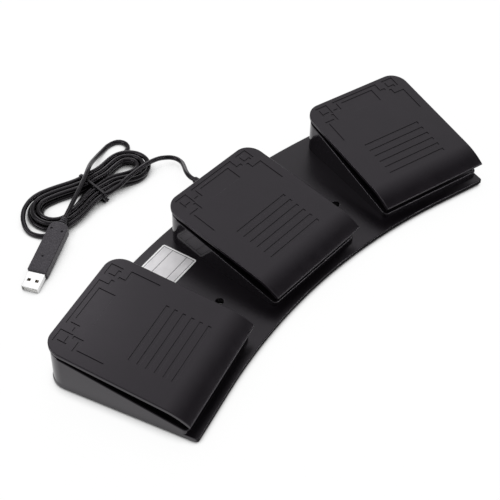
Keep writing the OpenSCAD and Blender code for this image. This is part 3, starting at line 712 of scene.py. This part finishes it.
class FOOTPEDAL_OT_plug(bpy.types.Operator):
    """Overmould of the plug with its ribbed boot and dimples, and its metal shell"""
    bl_idname = "footpedal.plug"
    bl_label = "Plug"

    def execute(self, context):
        place = Matrix.Translation(PLUG_AT * MM) @ PLUG_TURN
        cable_r = context.scene.foot_pedal_cord.diameter / MM / 2
        body = block("plug_overmould", (BOOT_LEN + PLUG_SIZE.x / 2, 0, 0), PLUG_SIZE)
        round_edges(body, PLUG_SHOULDER * MM, 6,
                    lambda e: middle(e).x < (BOOT_LEN + 1) * MM and abs(middle(e).z) < SAME_PLACE)
        round_edges(body, PLUG_ROUND * MM, 3)
        for x, y in DIMPLES:
            dimple = lathe("dimple", DIMPLE_RINGS, 20)
            cut(body, apply_place(dimple, Matrix.Translation(Vector((x, y, PLUG_SIZE.z / 2)) * MM)))
        rings = [(0, cable_r + 0.6)]
        neck = cable_r + 0.4
        for i in range(BOOT_RIBS):
            z = RIB_PITCH * i
            flare = RIB_FLARE * i
            rings += [(0.8 + z, cable_r + 0.75 + flare), (0.95 + z, neck), (1.45 + z, neck),
                      (1.6 + z, cable_r + 0.85 + flare)]
        boot = lathe("plug_boot", rings + [(BOOT_LEN + 1, cable_r + 1.7)])
        boot = apply_place(boot, Matrix.Rotation(math.pi / 2, 4, "Y"))
        body = apply_place(joined([body, boot], "plug_overmould"), place)
        dress(body, "plug_pvc", "housing", "plug_body")
        shell = merged_copy("plug_shell", "plug_sleeve")
        round_edges(shell, SHELL_ROUND * MM, 2)
        dress(shell, "plug_steel", "housing", "plug_shell")
        return {"FINISHED"}


class FOOTPEDAL_OT_strain_relief(bpy.types.Operator):
    """Collar and tapered, grooved sleeve where the cable leaves the housing"""
    bl_idname = "footpedal.strain_relief"
    bl_label = "Strain relief"

    def execute(self, context):
        cable_r = context.scene.foot_pedal_cord.diameter / MM / 2
        length = TIP_Y - OUTLET.y
        rings = [(z, cable_r + over) for z, over in COLLAR]
        flare, tip, neck = rings[-1][1], cable_r + RELIEF_TIP, cable_r + RELIEF_NECK
        for i in range(RELIEF_GROOVES):
            z = GROOVE_FIRST + GROOVE_PITCH * i
            rim = flare + (tip - flare) * z / length
            rings += [(z - 0.15, rim), (z, rim - 0.15), (z + 0.1, neck), (z + 1, neck),
                      (z + 1.1, rim - 0.2), (z + 1.25, rim - 0.1)]
        rings += [(length - 0.3, tip), (length, tip - 0.3), (length, cable_r + 0.05)]
        relief = lathe("cable_strain_relief", rings)
        relief = apply_place(relief, Matrix.Translation(OUTLET * MM) @ Matrix.Rotation(-math.pi / 2, 4, "X"))
        dress(relief, "cable_pvc", "housing", "strain_relief")
        return {"FINISHED"}


class FOOTPEDAL_OT_tie(bpy.types.Operator):
    """Coated wire tie round the hank, with its twisted ends"""
    bl_idname = "footpedal.tie"
    bl_label = "Tie"

    def execute(self, context):
        band = merged_copy("hank_tie", "tie_band")
        round_edges(band, TIE_ROUND * MM, 2)
        along = Matrix.Translation(HANK_AT * MM) @ Matrix.Rotation(HANK_TILT, 4, "Z")
        for step in (along.inverted(), Matrix.Scale(TIE_SHARE, 4, X), along):
            apply_place(band, step)
        low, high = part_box("hank_tie")
        turn = Matrix.Rotation(HANK_TILT, 3, "Z")
        cable_r = context.scene.foot_pedal_cord.diameter / MM / 2
        near = run_half(0, HANK_BACK - HANK_FROM) + cable_r + TIE_GAP
        root = HANK_AT + turn @ Vector((0, -near, 0)) + Z * (low.z + high.z) / 2 / MM
        reach = turn @ TIE_REACH
        side = reach.cross(Z).normalized()
        rise = side.cross(reach).normalized()
        ends = []
        for phase in (0, math.pi):
            points = []
            for i in range(TIE_STEPS + 1):
                a = phase + TIE_TWISTS * math.tau * i / TIE_STEPS
                spread = TIE_R + TIE_FLARE * smooth((i - TIE_STEPS + TIE_OPEN) / TIE_OPEN)
                around = spread * (math.cos(a) * side + math.sin(a) * rise)
                points.append((root + reach * (TIE_LEN * i / TIE_STEPS) + around) * MM)
            ends.append(as_mesh(tube("tie_end", points, TIE_R * MM, 2, 3)))
        dress(joined([band, *ends], "hank_wire_tie"), "tie_wire", "housing", "hank_tie")
        return {"FINISHED"}


class FOOTPEDAL_OT_cable(bpy.types.Operator):
    """The cable from the header to the plug: a lead, the hank, a loose loop and the plug's lead"""
    bl_idname = "footpedal.cable"
    bl_label = "Cable"

    def execute(self, context):
        diameter = context.scene.foot_pedal_cord.diameter
        points = cable_points(diameter / MM)
        cable = tube("data_cable", points, diameter / 2, 3, 5)
        dress(cable, "cable_pvc", "housing", "cable_tail", "cable_lead", "cable_hank", "plug_lead")
        return {"FINISHED"}


class FOOTPEDAL_OT_housing(bpy.types.Operator):
    """Housing with rounded rims and plate edges"""
    bl_idname = "footpedal.housing"
    bl_label = "Housing"

    def on_rim(self, place):
        """True on the rim of a wedge's walls, and not on the hinge ears inside them."""
        for turn in SIDES.values():
            u, v, z = wedge_matrix(turn).inverted() @ place / MM
            in_room = abs(u) < ROOM_HALF and ROOM_FRONT < v < ROOM_BACK
            below = RIM_BACK - (FAN_R - v) * math.tan(RIM_SLOPE) - z
            if abs(u) < WEDGE_HALF and not in_room and abs(below) < NEAR:
                return True
        return False

    def execute(self, context):
        housing = merged_copy("base_housing", "housing_moulding", whole=False)
        grow = (PLATE_BACK + BACK_EDGE) / PLATE_BACK
        resize(housing, (grow, grow, 1), FAN_CENTRE,
               lambda v: v.co.z < (PLATE_TOP + 0.1) * MM
               and (v.co - FAN_CENTRE).xy.length > (PLATE_BACK - 0.5) * MM)
        drop = 1 - RIM_DROP / (RIM_BACK - RIM_FRONT)
        resize(housing, (1, 1, drop), (0, 0, RIM_FRONT * MM), lambda v: self.on_rim(v.co))
        round_edges(housing, context.scene.foot_pedal_sizes.rim_round, 3,
                    lambda e: crest(e) and middle(e).z > (PLATE_TOP - 0.1) * MM
                    and max(f.normal.z for f in e.link_faces) > 0.95)
        dress(housing, "housing_abs", "housing", "base_housing")
        return {"FINISHED"}


class FOOTPEDAL_OT_pedals(bpy.types.Operator):
    """Three pedals with rounded edges, the fret along the back and grip grooves near the front"""
    bl_idname = "footpedal.pedals"
    bl_label = "Pedals"

    def fret(self):
        """Paths of the fret's grooves, each with its mirror image."""
        paths = [[(-u, v) for u, v in reversed(FRET_HOOK)] + list(FRET_HOOK)]
        for path in (FRET_SPIRAL, FRET_SIDE):
            paths += [path, [(-u, v) for u, v in path]]
        return paths

    def on_tread(self, place):
        """True on the sloping top of the centre pedal."""
        below = PEDAL_HIGH.z - (PEDAL_HIGH.y - place.y) * math.tan(TREAD_SLOPE) - place.z
        return abs(below) < NEAR * MM

    def grooves(self, sizes):
        """The cutter for every groove, laid on the tread."""
        lift = GROOVE_LIFT * MM
        depth = lift + sizes.groove_depth
        rise = math.cos(TREAD_SLOPE)
        paths = [[(u, (v - FAN_R) / rise) for u, v in path] for path in self.fret()]
        for row in range(sizes.grip_rows):
            v = (GRIP_FIRST + GRIP_PITCH * row - FAN_R) / rise
            paths.append([(-GRIP_HALF, v), (GRIP_HALF, v)])
        parts = [thickened(strip("groove", path, sizes.groove_width), depth) for path in paths]
        panel = Vector((PANEL_WIDTH, PANEL_DEPTH / rise, depth / MM))
        parts.append(block("panel", (0, (PANEL_V - FAN_R) / rise, -panel.z / 2), panel))
        cutter = joined(parts, "grooves")
        top = Matrix.Translation((0, PEDAL_HIGH.y, PEDAL_HIGH.z)) @ Matrix.Rotation(TREAD_SLOPE, 4, "X")
        return apply_place(cutter, top @ Matrix.Translation((0, 0, lift)))

    def execute(self, context):
        sizes = context.scene.foot_pedal_sizes
        first = merged_copy("centre_pedal", "centre_pedal_plate")
        spring_axis = Vector((0, SPRING_V - MID_Y, 0)) * MM
        resize(first, (POST_SLIM, POST_SLIM, 1), spring_axis,
               lambda v: (v.co - spring_axis).xy.length < (SPRING_R - WIRE_R) * MM)
        round_edges(first, sizes.edge_round, 4,
                    lambda e: crest(e, 60) and max(f.normal.z for f in e.link_faces) > 0.75)
        cut(first, self.grooves(sizes))
        round_edges(first, sizes.groove_round, 2, lambda e: crest(e, 60) and self.on_tread(middle(e)))
        for side, turn in SIDES.items():
            plate = first
            if turn:
                plate = apply_place(copied(first, side + "_pedal_plate"), between_pedals(turn))
            dress(plate, "pedal_abs", side + "_pedal_body", side + "_pedal")
        return {"FINISHED"}


class FOOTPEDAL_OT_springs(bpy.types.Operator):
    """Return springs of drawn wire"""
    bl_idname = "footpedal.springs"
    bl_label = "Return springs"

    def rise(self, f):
        """Share of the spring's height after a share of its curls, closed up at both ends."""
        first = 1 / SPRING_CURLS
        if f < first:
            return f * END_PITCH
        if f > 1 - first:
            return 1 - (1 - f) * END_PITCH
        return END_PITCH * first + (f - first) * (1 - 2 * END_PITCH * first) / (1 - 2 * first)

    def execute(self, context):
        steps = SPRING_CURLS * STEPS_PER_CURL
        for side, turn in SIDES.items():
            low, high = (p.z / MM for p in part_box(side + "_return_spring"))
            low, high = low + WIRE_R, high - WIRE_R
            points = []
            for i in range(steps + 1):
                a = math.tau * SPRING_CURLS * i / steps
                p = Vector((SPRING_R * math.cos(a), SPRING_V + SPRING_R * math.sin(a),
                            low + (high - low) * self.rise(i / steps)))
                points.append(wedge_matrix(turn) @ (p * MM))
            spring = as_mesh(tube(side + "_spring_wire", points, WIRE_R * MM, 1, 3))
            dress(spring, "steel", "housing", side + "_return_spring", angle=60)
            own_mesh(spring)
        return {"FINISHED"}


class FOOTPEDAL_OT_label(bpy.types.Operator):
    """Paper label in the left gap, with its printed frame and rules"""
    bl_idname = "footpedal.label"
    bl_label = "Label"

    def execute(self, context):
        place = wedge_matrix(-0.5) @ Matrix.Translation((0, LABEL_V * MM, PLATE_TOP * MM))
        film = block("label_paper", (0, 0, LABEL_SIZE.z / 2), LABEL_SIZE)
        round_edges(film, LABEL_CORNER * MM, 6, lambda e: abs(e.verts[0].co.z - e.verts[1].co.z) > 0.1 * MM)
        dress(apply_place(film, place), "label_film", "housing", "label")
        half_w, half_h = LABEL_SIZE.x / 2 - INSET_X, LABEL_SIZE.y / 2 - INSET_Y
        rules = [((x, -half_h), (x, half_h)) for x in (-half_w, half_w)]
        rules += [((-half_w, y), (half_w, y)) for y in (-half_h, *RULE_ROWS, half_h)]
        tint = block("label_tint", (0, 0, LABEL_SIZE.z), (2 * half_w, 2 * half_h, INK))
        dress(apply_place(tint, place), "tint", "housing")
        lines = [thickened(strip("rule", path, RULE_WIDTH * MM), INK * MM) for path in rules]
        above = Matrix.Translation(Z * (LABEL_SIZE.z + INK) * MM)
        ink = apply_place(joined(lines, "label_rules"), place @ above)
        dress(ink, "ink", "housing")
        return {"FINISHED"}


class FOOTPEDAL_OT_underside(bpy.types.Operator):
    """Cross-recessed screws and rubber feet of the bottom cover"""
    bl_idname = "footpedal.underside"
    bl_label = "Underside"

    def spread(self, first, name, places):
        """Copies of a piece at plan places of all three wedges, as one piece."""
        parts = []
        for turn in SIDES.values():
            for u, v in places:
                place = wedge_matrix(turn) @ Matrix.Translation((u * MM, v * MM, 0))
                parts.append(apply_place(copied(first, name), place))
        bpy.data.objects.remove(first)
        return joined(parts, name)

    def execute(self, context):
        foot_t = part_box("bottom_cover")[0].z / MM
        screw_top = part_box("cover_screws")[1].z / MM
        head = [(foot_t, SCREW_R - 0.1), (foot_t + 0.1, SCREW_R)]
        shank = [(foot_t + 1.4, SHANK_R), (screw_top - 0.6, SHANK_R), (screw_top, 0.5)]
        screw = lathe("screw", head + shank, 24)
        for sides in ((CROSS_LEN, CROSS_WIDTH), (CROSS_WIDTH, CROSS_LEN)):
            cut(screw, block("slot", (0, 0, foot_t), (*sides, CROSS_DEPTH)))
        screws = self.spread(screw, "cross_screws", SCREW_PLACES)
        dress(screws, "black_screws", "housing", "cover_screws")
        edge = [(0, FOOT_R - 0.8), (0.15, FOOT_R - 0.25), (0.45, FOOT_R)]
        foot = lathe("foot", edge + [(foot_t, FOOT_R)], 40)
        feet = self.spread(foot, "foot_pads", FOOT_PLACES)
        dress(feet, "foot_rubber", "housing", "rubber_feet")
        return {"FINISHED"}


class FOOTPEDAL_OT_inner_parts(bpy.types.Operator):
    """Finishes of the CAD nodes that show as they are"""
    bl_idname = "footpedal.inner_parts"
    bl_label = "Inner parts"

    def execute(self, context):
        slots = {row["node"]: row["material_slot"] for row in frame["record"]["subparts"]}
        for name, node in frame["nodes"].items():
            if node.hide_render:
                continue
            node.data.materials.clear()
            node.data.materials.append(finishes[slots[name]])
        return {"FINISHED"}


class FOOTPEDAL_OT_stage(bpy.types.Operator):
    """Pale floor, soft studio light and the camera"""
    bl_idname = "footpedal.stage"
    bl_label = "Stage"

    def camera(self, context):
        """The camera, from its angles about its target."""
        az, el, roll = (math.radians(a) for a in (CAMERA_TURN, CAMERA_HEIGHT, CAMERA_ROLL))
        back = Vector((math.sin(az) * math.cos(el), -math.cos(az) * math.cos(el), math.sin(el)))
        right = (-back).cross(Z).normalized()
        up = back.cross(right)
        turned = math.cos(roll) * right + math.sin(roll) * up
        raised = math.cos(roll) * up - math.sin(roll) * right
        data = bpy.data.cameras.new("camera")
        data.lens = CAMERA_LENS
        data.sensor_width = CAMERA_SENSOR
        camera = bpy.data.objects.new("camera", data)
        context.scene.collection.objects.link(camera)
        axes = Matrix((turned, raised, back)).transposed().to_4x4()
        camera.matrix_world = Matrix.Translation(CAMERA_TARGET + back * CAMERA_FAR) @ axes
        context.scene.camera = camera

    def lamp(self, context, mirrored_only, name, place, target, sizes, watts):
        """An area lamp that lights the object, or one that only mirrors see."""
        data = bpy.data.lights.new(name, "AREA")
        data.shape = "RECTANGLE"
        data.size, data.size_y = sizes
        data.energy = watts
        lamp = bpy.data.objects.new(name, data)
        context.scene.collection.objects.link(lamp)
        lamp.visible_diffuse = not mirrored_only
        lamp.visible_glossy = mirrored_only
        lamp.location = place
        lamp.rotation_mode = "QUATERNION"
        lamp.rotation_quaternion = (Vector(target) - Vector(place)).to_track_quat("-Z", "Y")

    def shown(self, tree):
        """1 for the rays that show the background: straight to the camera, mirrored or through glass."""
        path = add(tree, "ShaderNodeLightPath").outputs
        either = add(tree, "ShaderNodeMath", {
            0: path["Is Camera Ray"], 1: path["Is Glossy Ray"]}, operation="MAXIMUM")
        shown = add(tree, "ShaderNodeMath", {
            0: either.outputs[0], 1: path["Is Transmission Ray"]}, operation="MAXIMUM")
        return shown.outputs[0]

    def floor(self):
        """A white sweep that keeps the object's shadow, with painted contact shade from ambient occlusion
        near the object, and a painted shadow that makes it dark in mirrors just before the plate.
        """
        bpy.ops.mesh.primitive_plane_add(size=FLOOR_SIZE, location=(0, 0, -FLOOR_DROP * MM))
        floor = started("studio_floor")
        material, tree, place = new_material("white_sweep")
        # Painted contact shade: ambient occlusion darkens the floor's colour near the object and sets where
        # the floor shows flat white
        painted_contact_shade = add(tree, "ShaderNodeAmbientOcclusion", {
            "Color": linear("#f4f4f4"), "Distance": SHADOW_REACH * MM}, samples=8)
        lit = add(tree, "ShaderNodeBsdfDiffuse", {"Color": painted_contact_shade.outputs["Color"]})
        clear = add(tree, "ShaderNodeMapRange", {
            "Value": painted_contact_shade.outputs["AO"], "From Min": 0.25, "From Max": 0.7, "To Max": 0.94})
        free = clear.outputs["Result"]
        mirrored = add(tree, "ShaderNodeLightPath").outputs["Is Glossy Ray"]
        # Painted shadow: a band just in front of the plate's front edge, dark only in mirrors
        radius = add(tree, "ShaderNodeVectorMath", {0: place, 1: FAN_CENTRE}, operation="DISTANCE")
        beside = add(tree, "ShaderNodeMath", {
            0: radius.outputs["Value"], 1: (PLATE_FRONT - SHADE_WIDTH / 2) * MM}, operation="SUBTRACT")
        away = add(tree, "ShaderNodeMath", {0: beside.outputs[0]}, operation="ABSOLUTE")
        painted_foot_shadow = add(tree, "ShaderNodeMapRange", {
            "Value": away.outputs[0], "From Min": SHADE_WIDTH / 2 * MM, "From Max": SHADE_WIDTH * MM,
            "To Min": 0.1, "To Max": WHITE})
        dimmed = add(tree, "ShaderNodeMath", {0: painted_foot_shadow.outputs["Result"], 1: free}, operation="MULTIPLY")
        strength = add(tree, "ShaderNodeMix", {"Factor": mirrored, "A": WHITE, "B": dimmed.outputs[0]})
        white = add(tree, "ShaderNodeEmission", {"Strength": strength.outputs["Result"]})
        seen = add(tree, "ShaderNodeMath", {0: self.shown(tree), 1: free}, operation="MULTIPLY")
        share = add(tree, "ShaderNodeMath", {0: seen.outputs[0], 1: mirrored}, operation="MAXIMUM")
        mixed = add(tree, "ShaderNodeMixShader", {
            0: share.outputs[0], 1: lit.outputs[0], 2: white.outputs[0]})
        add(tree, "ShaderNodeOutputMaterial", {"Surface": mixed.outputs[0]})
        floor.data.materials.append(material)

    def shaded_card(self):
        """A card that only mirrors see, and that keeps the front curls of the pedals dark."""
        bpy.ops.mesh.primitive_plane_add(size=1, location=CARD_PLACE, rotation=(0, CARD_TURN, 0))
        card = started("shaded_card")
        card.scale = CARD_SIZE
        material, tree, place = new_material("shaded_board")
        across = add(tree, "ShaderNodeSeparateXYZ", {"Vector": place})
        shade = add(tree, "ShaderNodeMapRange", {
            "Value": across.outputs["Y"], "From Min": 0.0, "From Max": 0.45, "To Min": 0.02, "To Max": 0.86})
        dark = add(tree, "ShaderNodeEmission", {"Strength": shade.outputs["Result"]})
        add(tree, "ShaderNodeOutputMaterial", {"Surface": dark.outputs[0]})
        card.data.materials.append(material)
        card.visible_camera = card.visible_diffuse = card.visible_shadow = card.visible_transmission = False

    def sky(self, context):
        """An even fill light, and for mirrors a white horizon and a softbox high up."""
        world = bpy.data.worlds.new("studio")
        world.use_nodes = True
        tree = world.node_tree
        tree.nodes.clear()
        fill = add(tree, "ShaderNodeBackground", {"Color": (1, 1, 1, 1), "Strength": SKY_FILL})
        ray = add(tree, "ShaderNodeTexCoord").outputs["Generated"]
        height = add(tree, "ShaderNodeSeparateXYZ", {"Vector": ray})
        horizon = add(tree, "ShaderNodeMapRange", {
            "Value": height.outputs["Z"], "From Min": 0.02, "From Max": 0.2, "To Min": 1.0, "To Max": 0.0})
        aim = add(tree, "ShaderNodeVectorMath", {0: ray, 1: SKY_SOFTBOX}, operation="DOT_PRODUCT")
        softbox = add(tree, "ShaderNodeMapRange", {
            "Value": aim.outputs["Value"], "From Min": 0.9, "From Max": 0.985, "To Min": 0.4, "To Max": 0.86})
        bright = add(tree, "ShaderNodeMath", {
            0: horizon.outputs["Result"], 1: softbox.outputs["Result"]}, operation="MAXIMUM")
        sweep = add(tree, "ShaderNodeBackground", {"Color": (1, 1, 1, 1), "Strength": bright.outputs[0]})
        mixed = add(tree, "ShaderNodeMixShader", {
            0: self.shown(tree), 1: fill.outputs[0], 2: sweep.outputs[0]})
        add(tree, "ShaderNodeOutputWorld", {"Surface": mixed.outputs[0]})
        context.scene.world = world

    def execute(self, context):
        self.camera(context)
        self.floor()
        self.shaded_card()
        for name, values in SOFTBOXES.items():
            self.lamp(context, False, name, *values)
        for name, values in STRIPS.items():
            self.lamp(context, True, name, *values)
        self.sky(context)
        context.scene.view_settings.view_transform = "Standard"
        return {"FINISHED"}


class FOOTPEDAL_PT_panel(bpy.types.Panel):
    """Lists the pieces and their sizes"""
    bl_label = "Foot Pedal"
    bl_idname = "FOOTPEDAL_PT_panel"
    bl_space_type = "VIEW_3D"
    bl_region_type = "UI"
    bl_category = "Foot Pedal"

    def draw(self, context):
        for group in GROUPS:
            settings = getattr(context.scene, group)
            for name in settings.bl_rna.properties.keys():
                if name not in ("rna_type", "name"):
                    self.layout.prop(settings, name)
        for operator in OPERATORS:
            self.layout.operator(operator.bl_idname)


GROUPS = {"foot_pedal_sizes": PedalSizes, "foot_pedal_cord": CordSizes, "foot_pedal_colours": FinishColours}
OPERATORS = (
    FOOTPEDAL_OT_stage, FOOTPEDAL_OT_strain_relief, FOOTPEDAL_OT_tie, FOOTPEDAL_OT_plug,
    FOOTPEDAL_OT_cable, FOOTPEDAL_OT_housing, FOOTPEDAL_OT_pedals, FOOTPEDAL_OT_springs,
    FOOTPEDAL_OT_label, FOOTPEDAL_OT_underside, FOOTPEDAL_OT_inner_parts)


def register():
    for name, group in GROUPS.items():
        bpy.utils.register_class(group)
        setattr(bpy.types.Scene, name, bpy.props.PointerProperty(type=group))
    for operator in OPERATORS:
        bpy.utils.register_class(operator)
    bpy.utils.register_class(FOOTPEDAL_PT_panel)


def unregister():
    bpy.utils.unregister_class(FOOTPEDAL_PT_panel)
    for operator in reversed(OPERATORS):
        bpy.utils.unregister_class(operator)
    for name, group in GROUPS.items():
        delattr(bpy.types.Scene, name)
        bpy.utils.unregister_class(group)


def main():
    register()
    finishes.update(make_finishes(bpy.context.scene.foot_pedal_colours))
    for operator in OPERATORS:
        group, name = operator.bl_idname.split(".")
        getattr(getattr(bpy.ops, group), name)()


if __name__ == "__main__":
    main()
